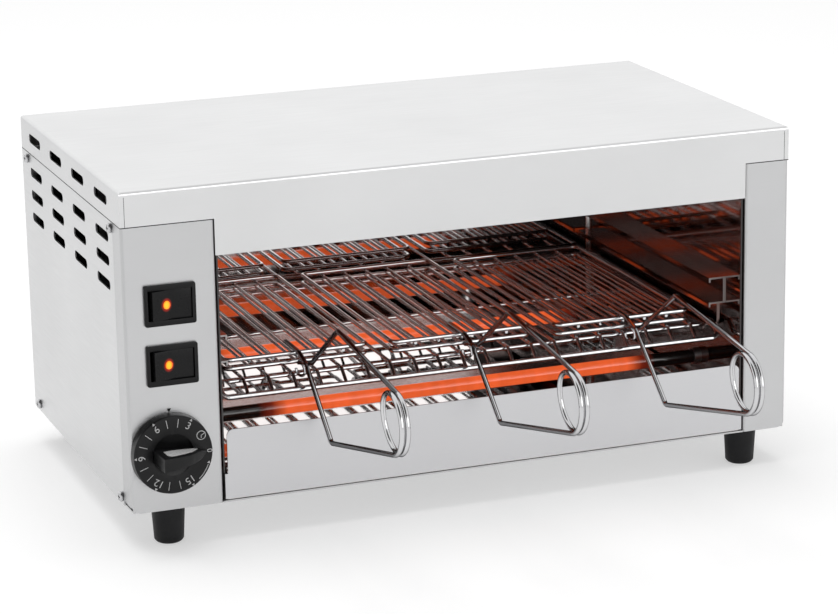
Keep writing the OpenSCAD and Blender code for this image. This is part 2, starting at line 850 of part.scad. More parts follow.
// Wire rack: a frame, fingers that bend down to the front wire, and cross wires under them
module rack() {
  color("darkgray") in_place() {
    leg = rack_corner_r + 2;
    leg_point = [rack_front_y + leg * cos(rack_slope), rack_front_z + leg * sin(rack_slope)];
    bend = [rack_bend_y, rack_z];
    turn_l = 4;
    cut = [collar_room, collar_room];
    translate([0, rack_front_y, rack_front_z])
      rotate([rack_slope, 0, 0])
        bent_wire([[rack_x0, leg], [rack_x0, 0], [rack_x1, 0], [rack_x1, leg]],
          rack_wire_d, rack_corner_r, cut);
    for (x = [rack_x0, rack_x1]) {
      translate([x, 0, 0]) upright() {
        bent_wire([leg_point, bend, bend + [turn_l, 0]], rack_wire_d, rack_bend_r, cut);
        collar(leg_point, bend - leg_point, rack_wire_d);
        collar(bend + [turn_l, 0], [1, 0], rack_wire_d);
      }
    }
    translate([0, 0, rack_z])
      bent_wire([[rack_x0, rack_bend_y + turn_l], [rack_x0, rack_rear_y], [rack_x1, rack_rear_y],
        [rack_x1, rack_bend_y + turn_l]], rack_wire_d, rack_corner_r, cut);
    for (i = [1 : finger_count]) {
      translate([rack_x0 + i * finger_pitch, 0, 0])
        upright()
          bent_wire([[rack_front_y, rack_front_z], bend, [rack_rear_y, rack_z]], finger_d, rack_bend_r);
    }
    for (y = [rack_bend_y + 4, (rack_bend_y + rack_rear_y) / 2, rack_rear_y - 6]) {
      rod([cross_x0, y, cross_z], [cross_x1, y, cross_z], cross_d);
    }
  }
}

// Puts a tong at its place on the rack
module at_tong(i) {
  in_place() translate([tong_x[i], -tong_out[i], 0]) children();
}

// Grid of a tong: a closed frame wire and lengthwise bars that may lie lower than the frame
module grid(z, drop) {
  half = grid_w / 2;
  reach = half - grid_corner_r;
  rear = grid_front_y + grid_l;
  translate([0, 0, z]) {
    for (y = [grid_front_y, rear]) {
      rod([-reach, y, 0], [reach, y, 0], frame_d);
    }
    for (x = [-half, half]) {
      rod([x, grid_front_y + grid_corner_r, 0], [x, rear - grid_corner_r, 0], frame_d);
    }
    ring_part([reach, rear - grid_corner_r], grid_corner_r, frame_d, 0, 90);
    ring_part([-reach, rear - grid_corner_r], grid_corner_r, frame_d, 90, 90);
    ring_part([-reach, grid_front_y + grid_corner_r], grid_corner_r, frame_d, 180, 90);
    ring_part([reach, grid_front_y + grid_corner_r], grid_corner_r, frame_d, 270, 90);
    for (i = [1 : grid_bar_count]) {
      x = -half + i * grid_w / (grid_bar_count + 1);
      rod([x, grid_front_y, -drop], [x, rear, -drop], grid_bar_d);
    }
  }
}

// Handle wire with the high bend: it carries the lower grid and starts the spring ring
module high_handle() {
  translate([handle_side, 0, 0])
    upright() {
      start = [grid_front_y - frame_d / 2 - joint_gap, low_grid_z];
      bent_wire([start, cross_point, peak_point, ring_at(peak_angle)],
        handle_d, handle_bend_r, [0, collar_room]);
      collar(ring_at(peak_angle), ring_at(peak_angle) - peak_point, handle_d);
      start_angle = peak_angle + free_angle(ring_r);
      ring_part(ring_point, ring_r, handle_d, start_angle, 270 - coil_end_free - start_angle);
    }
}

// Handle wire with the low bend: it carries the upper grid and winds on to the end of the first turn
module low_handle() {
  translate([-handle_side, 0, 0])
    upright() {
      tail = grid_front_y + 16;
      room = free_angle(ring_r);
      bent_wire([[tail, tail_z], [grid_front_y - 10, tail_z], cross_point,
        dip_point, ring_at(dip_angle)],
        handle_d, handle_bend_r, [0, collar_room]);
      collar(ring_at(dip_angle), ring_at(dip_angle) - dip_point, handle_d);
      ring_part(ring_point, ring_r, handle_d, 90 + room, 270 + dip_angle - 2 * room);
      collar(ring_at(90), [1, 0], handle_d);
      translate([ring_point[0], ring_point[1], coil_step / 2])
        rotate([-coil_tilt, 0, 0])
          ring_part([0, 0], coil_turn_r, handle_d, room - 90, 180 - 2 * room);
    }
  translate([-handle_side - (handle_d + eye_d) / 2 + weld, cross_point[0], cross_point[1]])
    rotate([0, 0, eye_turn])
      upright()
        ring_part([eye_back, eye_up - eye_r], eye_r, eye_d, 60, 300);
}

module tong_1_low_grid() {
  color("gray") at_tong(0) grid(low_grid_z, 0);
}

module tong_1_high_grid() {
  color("silver") at_tong(0) grid(high_grid_z, bar_drop);
}

module tong_1_high_handle() {
  color("gray") at_tong(0) high_handle();
}

module tong_1_low_handle() {
  color("silver") at_tong(0) low_handle();
}

module tong_2_low_grid() {
  color("gray") at_tong(1) grid(low_grid_z, 0);
}

module tong_2_high_grid() {
  color("silver") at_tong(1) grid(high_grid_z, bar_drop);
}

module tong_2_high_handle() {
  color("gray") at_tong(1) high_handle();
}

module tong_2_low_handle() {
  color("silver") at_tong(1) low_handle();
}

module tong_3_low_grid() {
  color("gray") at_tong(2) grid(low_grid_z, 0);
}

module tong_3_high_grid() {
  color("silver") at_tong(2) grid(high_grid_z, bar_drop);
}

module tong_3_high_handle() {
  color("gray") at_tong(2) high_handle();
}

module tong_3_low_handle() {
  color("silver") at_tong(2) low_handle();
}

// Puts a switch at its place in the panel
module at_switch(i) {
  in_place() translate([switch_x, 0, switch_zs[i]]) children();
}

// Switch housing: bezel in front of the panel, body behind it, pivot holes for the rocker
module switch_housing() {
  body_w = cutout_w - 2 * body_gap;
  body_h = cutout_h - 2 * body_gap;
  difference() {
    union() {
      rotate([90, 0, 0]) linear_extrude(bezel_t) rounded(bezel_w, bezel_h, 1.5);
      translate([-body_w / 2, 0, -body_h / 2]) cube([body_w, switch_depth, body_h]);
    }
    translate([-window_w / 2, -bezel_t - 1, -window_h / 2])
      cube([window_w, bezel_t + 1 + switch_depth / 2, window_h]);
    translate([0, pivot_y, -body_h]) cylinder(d = pivot_d + 2 * run_gap, h = 2 * body_h);
  }
  for (x = [-8, 0, 8]) {
    translate([x - 0.4, switch_depth, -3]) cube([0.8, 9, 6]);
  }
}

// Rocker tipped to its rest side, with pivot pins and a blind hole for the lens
module rocker() {
  translate([0, pivot_y, 0])
    rotate([0, 0, rocker_tilt]) {
      difference() {
        translate([0, 0, -rocker_h / 2])
          linear_extrude(rocker_h)
            polygon([[-rocker_w / 2, -rocker_edge], [0, -rocker_dip], [rocker_w / 2, -rocker_edge],
              [rocker_w / 2, 1], [6, rocker_back], [-6, rocker_back], [-rocker_w / 2, 1]]);
        lens_place() cylinder(d = lens_d + 0.1, h = lens_t + 2);
      }
      translate([0, 0, -rocker_h / 2 - 1]) cylinder(d = pivot_d, h = rocker_h + 2);
    }
}

// Bottom of the lens hole in the left wing of a rocker, its axis outward
module lens_place() {
  translate([0, -rocker_dip, 0])
    rotate([0, 0, wing_angle])
      translate([lens_x, lens_t - 0.4, 0])
        rotate([90, 0, 0])
          children();
}

// Round lamp lens in a rocker
module lens() {
  translate([0, pivot_y, 0]) rotate([0, 0, rocker_tilt]) lens_place() cylinder(d = lens_d, h = lens_t);
}

module high_switch_housing() {
  color("dimgray") at_switch(0) switch_housing();
}

module low_switch_housing() {
  color("dimgray") at_switch(1) switch_housing();
}

module high_rocker() {
  color("black") at_switch(0) rocker();
}

module low_rocker() {
  color("black") at_switch(1) rocker();
}

module high_lens() {
  color("orange") at_switch(0) lens();
}

module low_lens() {
  color("orange") at_switch(1) lens();
}

// Puts the timer pieces on the shaft axis, with z out of the panel
module at_timer() {
  in_place() translate([knob_x, 0, knob_z]) rotate([90, 0, 0]) children();
}

// Clockwork timer behind the panel
module timer_body() {
  color("gray") at_timer()
    difference() {
      union() {
        translate([0, 0, -sheet - timer_depth]) cylinder(d = timer_d, h = timer_depth);
        translate([-9, -8, -sheet - timer_depth - 8]) cube([18, 16, 8]);
      }
      translate([0, 0, -sheet - shaft_in - 1]) cylinder(d = shaft_d + 2 * run_gap, h = shaft_in + 2);
    }
}

// Timer shaft from the clockwork into the knob
module timer_shaft() {
  color("silver") at_timer()
    translate([0, 0, -sheet - shaft_in])
      cylinder(d = shaft_d, h = sheet + shaft_in + knob_gap + skirt_h + shaft_grip);
}

// Front view of the wing grip, blunt at one end and pointed at the other
module grip_outline() {
  polygon([for (p = [[-12.2, -grip_half], [15.3, -2.7], [20.4, -0.6], [20.4, 0.6], [15.3, 2.7],
    [-12.2, grip_half]]) [p[0] * grip_scale, p[1]]]);
}

// Height of the wing grip along its length
module grip_profile() {
  polygon([for (p = [[-12.2, -0.05], [20.4, -0.05], [20.4, 0.08], [11.8, 0.52], [6.5, 0.73],
    [-2.5, 0.89], [-11.2, 1]]) [p[0] * grip_scale, p[1] * grip_h]]);
}

// Hollow for the fingers on one side of the grip, deepest at the grip
module finger_hollow() {
  intersection() {
    cylinder(r = hollow_r, h = 10, center = true);
    translate([0, hollow_r, 0])
      rotate([hollow_tilt, 0, 0])
        translate([-hollow_r - 1, -hollow_r - 2, 0])
          cube([2 * hollow_r + 2, hollow_r + 2, 10]);
  }
}

// Turns a flat drawing onto the upper flank of the grip, with y towards the panel
module at_flank() {
  translate([-12.2 * grip_scale, grip_half, knob_gap + skirt_h])
    rotate([0, 0, atan2(2.7 - grip_half, 27.5 * grip_scale)])
      rotate([-90, 0, 0])
        children();
}

// Outline of the light insert on the flank, grown away from its middle
module insert_outline(grow) {
  middle = [15 * grip_scale, -0.38 * grip_h];
  polygon([for (p = insert_points) p + (p - middle) / norm(p - middle) * grow]);
}

// Timer knob with a dial skirt and a wing grip between two finger hollows
module timer_knob() {
  color("black") at_timer()
    difference() {
      union() {
        difference() {
          union() {
            translate([0, 0, knob_gap]) cylinder(d1 = knob_d, d2 = dial_d, h = skirt_h - skirt_edge);
            translate([0, 0, knob_gap + skirt_h - skirt_edge])
              cylinder(d1 = dial_d, d2 = dial_d - 2 * skirt_edge, h = skirt_edge);
          }
          for (turn = [0, 180]) {
            translate([0, 0, knob_gap + skirt_h]) rotate([0, 0, turn]) finger_hollow();
          }
        }
        translate([0, 0, knob_gap + skirt_h])
          intersection() {
            translate([0, 0, -3]) linear_extrude(grip_h + 4) grip_outline();
            union() {
              rotate([90, 0, 0]) linear_extrude(12, center = true) grip_profile();
              translate([-hollow_r, -6, -3]) cube([2 * hollow_r, 12, 3]);
            }
          }
      }
      translate([0, 0, -1]) cylinder(d = shaft_d + 0.06, h = knob_gap + skirt_h + shaft_grip + 1.03);
      at_flank() translate([0, 0, -0.6]) linear_extrude(2) insert_outline(0.08);
    }
}

// Light insert let into the upper flank of the grip
module knob_insert() {
  color("lightgray") at_timer() at_flank() translate([0, 0, -0.6]) linear_extrude(0.8) insert_outline(0);
}

// Terminal block on the base pan
module terminal_block() {
  color("ivory") in_place()
    translate([gland_x - 15, case_d - 60, sheet])
      difference() {
        cube([30, 18, 16]);
        for (x = [5, 15, 25]) {
          translate([x, 9, 8]) cylinder(d = 5, h = 10);
          translate([x, -1, 5]) rotate([-90, 0, 0]) cylinder(d = 4, h = 20);
        }
      }
}

// Cable gland in the rear panel, without its cable
module cable_gland() {
  color("dimgray") in_place()
    translate([gland_x, case_d, gland_z])
      rotate([-90, 0, 0])
        difference() {
          union() {
            translate([0, 0, -gland_in]) cylinder(d = gland_d, h = gland_in);
            cylinder(d = gland_d + 6, h = gland_out / 2, $fn = 6);
            translate([0, 0, gland_out / 2])
              cylinder(d1 = gland_d + 2, d2 = gland_d - 3, h = gland_out / 2);
          }
          translate([0, 0, -gland_in - 1]) cylinder(d = gland_bore_d, h = gland_in + gland_out + 2);
        }
}

// Lock nut of the cable gland inside the rear panel
module gland_nut() {
  color("dimgray") in_place()
    translate([gland_x, case_d - sheet - gland_nut_t, gland_z])
      rotate([-90, 0, 0])
        difference() {
          cylinder(d = gland_d + 8, h = gland_nut_t, $fn = 6);
          translate([0, 0, -1]) cylinder(d = gland_d + 0.1, h = gland_nut_t + 2);
        }
}

// Places the children at the four feet
module foot_places() {
  for (x = [foot_inset_x, case_w - foot_inset_x]) {
    for (y = [foot_inset_y, case_d - foot_inset_y]) {
      translate([x, y, 0]) children();
    }
  }
}

// Tapered feet, each with a hole and a deep recess for its screw
module feet() {
  color("black") in_place() foot_places()
    difference() {
      union() {
        translate([0, 0, 2 - foot_h]) cylinder(d1 = foot_bottom_d, d2 = foot_top_d, h = foot_h - 2);
        translate([0, 0, -foot_h]) cylinder(d1 = foot_bottom_d - 3, d2 = foot_bottom_d, h = 2);
      }
      translate([0, 0, -foot_h - 1]) cylinder(d = foot_screw_d + 5, h = foot_h / 2 + 1);
      translate([0, 0, -foot_h]) cylinder(d = foot_screw_d + 0.3, h = foot_h + 1);
    }
}

// Screws of the feet, heads up inside the recesses
module foot_screws() {
  color("silver") in_place() foot_places() {
    translate([0, 0, -foot_h / 2 - 2.6]) cylinder(d = foot_screw_d + 3.4, h = 2.6);
    translate([0, 0, -foot_h / 2]) cylinder(d = foot_screw_d, h = foot_h / 2 + sheet + 5);
  }
}

// Panel screws at the corners of both sides
module side_screws() {
  color("silver") in_place()
    for (y = screw_y) {
      for (z = screw_z) {
        translate([0, y, z]) pan_screw(5);
        at_right() translate([0, y, z]) pan_screw(5);
      }
    }
}

// Screws that hold the rear flange of the cover
module rear_screws() {
  color("silver") in_place()
    for (x = rear_screw_x) {
      translate([x, case_d, rear_screw_z]) rotate([0, 0, -90]) pan_screw(5);
    }
}

top_cover();
left_column();
right_column();
left_side_panel();
right_side_panel();
rear_panel();
base_pan();
left_partition();
right_partition();
back_reflector();
top_reflector();
left_rail();
right_rail();
low_front_tube();
low_rear_tube();
high_front_tube();
high_rear_tube();
heater_coils();
tube_bushes();
tube_caps();
link_straps();
crumb_tray();
rack();
tong_1_low_grid();
tong_1_high_grid();
tong_1_high_handle();
tong_1_low_handle();
tong_2_low_grid();
tong_2_high_grid();
tong_2_high_handle();
tong_2_low_handle();
tong_3_low_grid();
tong_3_high_grid();
tong_3_high_handle();
tong_3_low_handle();
high_switch_housing();
low_switch_housing();
high_rocker();
low_rocker();
high_lens();
low_lens();
timer_body();
timer_shaft();
timer_knob();
knob_insert();
terminal_block();
cable_gland();
gland_nut();
feet();
foot_screws();
side_screws();
rear_screws();
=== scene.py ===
import math

import bpy
from mathutils import Matrix, Vector


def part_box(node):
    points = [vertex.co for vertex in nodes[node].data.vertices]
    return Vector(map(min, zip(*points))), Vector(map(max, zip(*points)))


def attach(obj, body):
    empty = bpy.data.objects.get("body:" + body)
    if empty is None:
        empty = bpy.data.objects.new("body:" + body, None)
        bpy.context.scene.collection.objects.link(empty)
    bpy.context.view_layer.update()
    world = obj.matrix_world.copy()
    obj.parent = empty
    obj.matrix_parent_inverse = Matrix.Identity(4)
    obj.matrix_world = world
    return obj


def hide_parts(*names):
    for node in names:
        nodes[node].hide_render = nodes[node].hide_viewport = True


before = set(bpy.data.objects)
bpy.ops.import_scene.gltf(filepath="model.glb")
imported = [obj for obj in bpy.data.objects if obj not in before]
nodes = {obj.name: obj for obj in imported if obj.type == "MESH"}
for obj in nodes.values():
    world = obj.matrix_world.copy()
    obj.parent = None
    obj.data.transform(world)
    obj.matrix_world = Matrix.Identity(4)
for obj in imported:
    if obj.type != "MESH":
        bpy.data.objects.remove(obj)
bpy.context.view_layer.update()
scene = bpy.context.scene
scene.view_settings.view_transform = "Standard"
mm = 0.001
print("frame loaded:", len(nodes), "nodes")


# Camera, at the photo's viewing angle
cameraView = {
    "turn": -20.29,  # degrees round the object
    "rise": 15.46,  # degrees above the horizon
    "roll": -1.02,
    "distance": 1.904,
    "lens": 132.79,
    "sensor": 36.0,
    "farthest": 50,
    "aim": (-0.0327, -0.048225, 0.1334),
}


def addCamera():
    turn = math.radians(cameraView["turn"])
    rise = math.radians(cameraView["rise"])
    right = Vector((math.cos(turn), math.sin(turn), 0))
    flat = math.cos(rise)
    back = Vector((math.sin(turn) * flat, -math.cos(turn) * flat, math.sin(rise)))
    up = back.cross(right)
    roll = Matrix.Rotation(math.radians(cameraView["roll"]), 3, "Z")
    place = Matrix((right, up, back)).transposed() @ roll
    bpy.ops.object.camera_add(location=Vector(cameraView["aim"]) + back * cameraView["distance"])
    camera = bpy.context.object
    camera.rotation_euler = place.to_euler()
    camera.data.lens = cameraView["lens"]
    camera.data.sensor_width = cameraView["sensor"]
    camera.data.sensor_fit = "HORIZONTAL"
    camera.data.clip_end = cameraView["farthest"]
    scene.camera = camera


addCamera()
print("camera ready")


# Node helpers for the materials
def startMaterial(name):
    material = bpy.data.materials.new(name)
    material.use_nodes = True
    tree = material.node_tree
    return material, tree, tree.nodes["Principled BSDF"]


def objectPlace(tree, stretch=(1, 1, 1), centre=(0, 0, 0)):
    coords = tree.nodes.new("ShaderNodeTexCoord")
    mapping = tree.nodes.new("ShaderNodeMapping")
    mapping.inputs["Location"].default_value = [-c * s for c, s in zip(centre, stretch)]
    mapping.inputs["Scale"].default_value = stretch
    tree.links.new(coords.outputs["Object"], mapping.inputs["Vector"])
    return mapping.outputs["Vector"]


def noise(tree, scale, detail=2.0, stretch=(1, 1, 1)):
    texture = tree.nodes.new("ShaderNodeTexNoise")
    texture.inputs["Scale"].default_value = scale
    texture.inputs["Detail"].default_value = detail
    tree.links.new(objectPlace(tree, stretch), texture.inputs["Vector"])
    return texture.outputs["Fac"]


def ramp(tree, factor, stops):
    node = tree.nodes.new("ShaderNodeValToRGB")
    marks = node.color_ramp.elements
    while len(marks) < len(stops):
        marks.new(0.5)
    for mark, (place, colour) in zip(marks, stops):
        mark.position = place
        mark.color = (*colour, 1)
    tree.links.new(factor, node.inputs["Fac"])
    return node.outputs["Color"]


def between(tree, factor, low, high, fromLow=0.3, fromHigh=0.7):
    node = tree.nodes.new("ShaderNodeMapRange")
    node.inputs["From Min"].default_value = fromLow
    node.inputs["From Max"].default_value = fromHigh
    node.inputs["To Min"].default_value = low
    node.inputs["To Max"].default_value = high
    tree.links.new(factor, node.inputs["Value"])
    return node.outputs["Result"]


def added(tree, first, second):
    node = tree.nodes.new("ShaderNodeMath")
    node.operation = "ADD"
    tree.links.new(first, node.inputs[0])
    tree.links.new(second, node.inputs[1])
    return node.outputs[0]


def mixed(tree, factor, first, second):
    node = tree.nodes.new("ShaderNodeMix")
    tree.links.new(factor, node.inputs["Factor"])
    for socket, value in (("A", first), ("B", second)):
        if isinstance(value, float):
            node.inputs[socket].default_value = value
        else:
            tree.links.new(value, node.inputs[socket])
    return node.outputs["Result"]


def bump(tree, shader, height, strength, distance):
    node = tree.nodes.new("ShaderNodeBump")
    node.inputs["Strength"].default_value = strength
    node.inputs["Distance"].default_value = distance
    tree.links.new(height, node.inputs["Height"])
    tree.links.new(node.outputs["Normal"], shader.inputs["Normal"])


def mottled(tree, factor, colour, spread):
    dark = tuple(c * (1 - spread) for c in colour)
    light = tuple(c * (1 + spread) for c in colour)
    return ramp(tree, factor, [(0.3, dark), (0.7, light)])


def fromMiddle(tree, node, stretch):
    low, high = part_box(node)
    length = tree.nodes.new("ShaderNodeVectorMath")
    length.operation = "LENGTH"
    tree.links.new(objectPlace(tree, stretch, (low + high) / 2), length.inputs[0])
    return length.outputs["Value"]


# Steel: rolled satin sheet, polished sheet, plated wire and screws
def steel(name, colour, rough, grain, grainScale=30, wave=0.0, rim=1.0):
    material, tree, shader = startMaterial(name)
    shader.inputs["Metallic"].default_value = 1.0
    shader.inputs["Specular Tint"].default_value = (rim, rim, rim, 1)  # below 1: dark rims
    tree.links.new(mottled(tree, noise(tree, 9, 4), colour, 0.03), shader.inputs["Base Color"])
    lines = noise(tree, grainScale, 3, grain)
    tree.links.new(between(tree, lines, *rough), shader.inputs["Roughness"])
    if wave:
        bump(tree, shader, noise(tree, 14, 1), wave, 0.002)
    else:
        bump(tree, shader, lines, 0.06, 0.0002)
    return material


# Matt or glossy moulded plastic and rubber
def moulded(name, colour, rough, fine=900, sheen=0.5):
    material, tree, shader = startMaterial(name)
    skin = noise(tree, fine, 3)
    patches = noise(tree, fine / 6, 3)
    tree.links.new(mottled(tree, skin, colour, 0.15), shader.inputs["Base Color"])
    tree.links.new(between(tree, patches, *rough), shader.inputs["Roughness"])
    shader.inputs["Specular IOR Level"].default_value = sheen
    bump(tree, shader, skin, 0.08, 0.0002)
    return material


# Milky quartz that glows between its cold ends
def quartz(name, glow):
    material, tree, shader = startMaterial(name)
    axis = tree.nodes.new("ShaderNodeSeparateXYZ")
    tree.links.new(objectPlace(tree), axis.inputs["Vector"])
    centred = tree.nodes.new("ShaderNodeMath")
    centred.operation = "SUBTRACT"
    centred.inputs[1].default_value = glow["centre"]
    tree.links.new(axis.outputs["X"], centred.inputs[0])
    reach = tree.nodes.new("ShaderNodeMath")
    reach.operation = "ABSOLUTE"
    tree.links.new(centred.outputs[0], reach.inputs[0])
    heat = between(tree, reach.outputs[0], 1, 0, glow["half"] - glow["end"], glow["half"])
    skin = ramp(tree, heat, [(0.0, glow["cold"]), (1.0, glow["skin"])])
    light = ramp(tree, heat, [(0.0, (0, 0, 0)), (0.45, glow["dull"]), (1.0, glow["hot"])])
    weak, strong = (glow["power"] * share for share in glow["uneven"])
    power = between(tree, noise(tree, 120, 2, (1, 0.2, 0.2)), weak, strong)
    tree.links.new(skin, shader.inputs["Base Color"])
    tree.links.new(light, shader.inputs["Emission Color"])
    tree.links.new(power, shader.inputs["Emission Strength"])
    shader.inputs["Roughness"].default_value = glow["rough"]
    shader.inputs["Coat Weight"].default_value = glow["coat"]
    shader.inputs["Coat Roughness"].default_value = glow["coatRough"]
    return material


# Lit lamp window, brightest in its middle
def lampGlass(name, node, glow):
    material, tree, shader = startMaterial(name)
    fade = between(tree, fromMiddle(tree, node, glow["stretch"]), 1, 0, 0.0, glow["radius"])
    light = ramp(tree, fade, [(0.05, glow["rim"]), (0.3, glow["body"]), (0.6, glow["core"])])
    tree.links.new(light, shader.inputs["Emission Color"])
    shader.inputs["Emission Strength"].default_value = glow["power"]
    shader.inputs["Base Color"].default_value = (*glow["glass"], 1)
    tree.links.new(between(tree, noise(tree, 400), *glow["rough"]), shader.inputs["Roughness"])
    return material


# Sheet with another finish on its front face or cut edge than behind it
sheetEdge = {"skin": (0.3, 0.6), "blur": 8}  # depth of the front finish, soft edge of a dull band


def frontedSheet(name, outside, inside, frontY):
    material, tree, shader = startMaterial(name)
    shader.inputs["Metallic"].default_value = 1.0
    axis = tree.nodes.new("ShaderNodeSeparateXYZ")
    tree.links.new(objectPlace(tree), axis.inputs["Vector"])
    skinStart, skinEnd = (frontY + place * mm for place in sheetEdge["skin"])
    depth = between(tree, axis.outputs["Y"], 0, 1, skinStart, skinEnd)
    start, end = (frontY + place * mm for place in inside["dull"])
    blur = sheetEdge["blur"] * mm
    rise = between(tree, axis.outputs["Y"], 0, inside["wear"], start, start + blur)
    fall = between(tree, axis.outputs["Y"], 0, -inside["wear"], end, end + blur)
    worn = added(tree, rise, fall)
    colour = ramp(tree, depth, [(0.0, outside["colour"]), (1.0, inside["colour"])])
    tree.links.new(colour, shader.inputs["Base Color"])
    lines = noise(tree, 30, 3, (1, 40, 40))
    frontRough = between(tree, lines, *outside["rough"])
    backRough = added(tree, between(tree, lines, *inside["rough"]), worn)
    tree.links.new(mixed(tree, depth, frontRough, backRough), shader.inputs["Roughness"])
    bump(tree, shader, noise(tree, 14, 1), inside["wave"], 0.002)
    return material


# Black rocker with the red halo of its lamp
def rockerFinish(name, lens, halo):
    material, tree, shader = startMaterial(name)
    skin = noise(tree, 900, 3)
    tree.links.new(mottled(tree, skin, halo["black"], 0.15), shader.inputs["Base Color"])
    tree.links.new(between(tree, skin, *halo["rough"]), shader.inputs["Roughness"])
    shader.inputs["Specular IOR Level"].default_value = halo["sheen"]
    fade = between(tree, fromMiddle(tree, lens, halo["stretch"]), 1, 0, halo["from"], halo["to"])
    light = ramp(tree, fade, [(0.0, (0, 0, 0)), (1.0, halo["glow"])])
    tree.links.new(light, shader.inputs["Emission Color"])
    shader.inputs["Emission Strength"].default_value = 1.0
    return material


tubeGlow = {
    "centre": 0.017,  # middle of the hot length, from the middle of the part
    "half": 0.137,
    "end": 0.02,
    "power": 0.95,
    "uneven": (0.88, 1.08),
    "rough": 0.22,
    "coat": 0.6,
    "coatRough": 0.05,
    "hot": (0.84, 0.12, 0.03),
    "dull": (0.14, 0.012, 0.004),
    "skin": (0.1, 0.02, 0.01),
    "cold": (0.02, 0.015, 0.014),
}
lampHalo = {
    "black": (0.006, 0.006, 0.0065),
    "rough": (0.26, 0.36),
    "sheen": 0.22,
    "stretch": (1, 0, 0.8),
    "glow": (0.5, 0.02, 0.004),
    "from": 0.0019,
    "to": 0.0036,
}
# tray front: the satin steel made darker, painted shade
trayOutsidePaintedShade = {"colour": (0.57, 0.57, 0.582), "rough": (0.3, 0.4)}
trayInside = {"colour": (0.62, 0.6, 0.595), "rough": (0.01, 0.02), "wave": 0.006,
              "wear": 0.24, "dull": (146, 192)}  # dulled by heat below the rear tube
# front cut edge of the partitions: near-black, painted shade
wallEdgePaintedShade = {"colour": (0.07, 0.065, 0.065), "rough": (0.4, 0.5)}
railEdge = {"colour": (0.34, 0.33, 0.33), "rough": (0.3, 0.4)}
wallSheet = {"colour": (0.4, 0.34, 0.325), "rough": (0.03, 0.08), "wave": 0.02,
             "wear": 0.0, "dull": (100, 200)}
railSheet = {"colour": (0.3, 0.25, 0.24), "rough": (0.06, 0.14), "wave": 0.02,
             "wear": 0.0, "dull": (100, 200)}
lampGlow = {
    "radius": 0.0024,
    "stretch": (1, 0, 0.75),
    "power": 1.0,
    "glass": (0.3, 0.05, 0.01),
    "rough": (0.15, 0.3),
    "core": (1.0, 0.6, 0.012),
    "body": (1.0, 0.42, 0.008),
    "rim": (0.75, 0.07, 0.004),
}
finishes = {
    "coverSheet": steel("coverSheet", (0.645, 0.647, 0.65), (0.3, 0.4), (1, 40, 40)),
    # columns and base pan: the cover steel made darker, painted shade of the front faces
    "columnSheetPaintedShade": steel("columnSheetPaintedShade", (0.53, 0.532, 0.537), (0.3, 0.4), (1, 40, 40)),
    "sideSheet": steel("sideSheet", (0.64, 0.642, 0.645), (0.3, 0.4), (40, 1, 40)),
    "traySheet": frontedSheet("traySheet", trayOutsidePaintedShade, trayInside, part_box("crumb_tray")[0].y),
    "wallSheet": frontedSheet("wallSheet", wallEdgePaintedShade, wallSheet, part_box("right_partition")[0].y),
    "railSheet": frontedSheet("railSheet", railEdge, railSheet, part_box("right_rail")[0].y),
    "polished": steel("polished", (0.58, 0.565, 0.56), (0.02, 0.05), (1, 20, 20), 20, 0.03),
    # rear corner folds: steel lighter than the chamber walls, painted highlight
    "foldSheetPaintedHighlight": steel("foldSheetPaintedHighlight", (0.85, 0.84, 0.83), (0.16, 0.26), (20, 20, 1), 20),
    "roofSheet": steel("roofSheet", (0.16, 0.13, 0.12), (0.25, 0.4), (1, 20, 20), 20, 0.03),
    "plated": steel("plated", (0.62, 0.62, 0.63), (0.015, 0.045), (1, 1, 1), 300),
    # tong handles: the plated wire with dark rims, painted dark reflection
    "handleWirePaintedShade": steel("handleWirePaintedShade", (0.62, 0.62, 0.63), (0.015, 0.045), (1, 1, 1), 300, rim=0.1),
    "screwSteel": steel("screwSteel", (0.55, 0.55, 0.56), (0.22, 0.34), (1, 1, 1), 500),
    "timerMetal": steel("timerMetal", (0.5, 0.5, 0.5), (0.3, 0.45), (1, 1, 1), 200),
    "bushMetal": steel("bushMetal", (0.55, 0.55, 0.56), (0.3, 0.4), (1, 1, 1), 200),
    "brass": steel("brass", (0.6, 0.42, 0.16), (0.25, 0.4), (1, 1, 1), 200),
    "hotWire": quartz("hotWire", tubeGlow),
    "quartz": quartz("quartzSkin", tubeGlow),
    "ceramic": moulded("ceramic", (0.62, 0.6, 0.55), (0.5, 0.65)),
    "switchBlack": moulded("switchBlack", (0.006, 0.006, 0.0065), (0.3, 0.42), 900, 0.22),
    "knobBlack": moulded("knobBlack", (0.008, 0.008, 0.0085), (0.28, 0.38), 900, 0.25),
    "insertGrey": moulded("insertGrey", (0.6, 0.6, 0.6), (0.4, 0.5)),
    "glandBlack": moulded("glandBlack", (0.02, 0.02, 0.02), (0.4, 0.5)),
    "rubber": moulded("rubber", (0.009, 0.009, 0.01), (0.5, 0.62), 700, 0.25),
    # painted shadow along the cover's joints and near its front corners
    "seamShadowBlack": moulded("seamShadowBlack", (0.03, 0.03, 0.03), (0.5, 0.6)),
    # near-black sheet behind the rear vents, painted shade
    "ventShadeBlack": moulded("ventShadeBlack", (0.012, 0.012, 0.012), (0.6, 0.7), 2500, 0.2),
    "dialWhite": moulded("dialWhite", (0.72, 0.72, 0.72), (0.5, 0.6)),
    "upperRocker": rockerFinish("upperRocker", "high_lens", lampHalo),
    "lowerRocker": rockerFinish("lowerRocker", "low_lens", lampHalo),
    "upperLamp": lampGlass("upperLamp", "high_lens", lampGlow),
    "lowerLamp": lampGlass("lowerLamp", "low_lens", lampGlow),
}
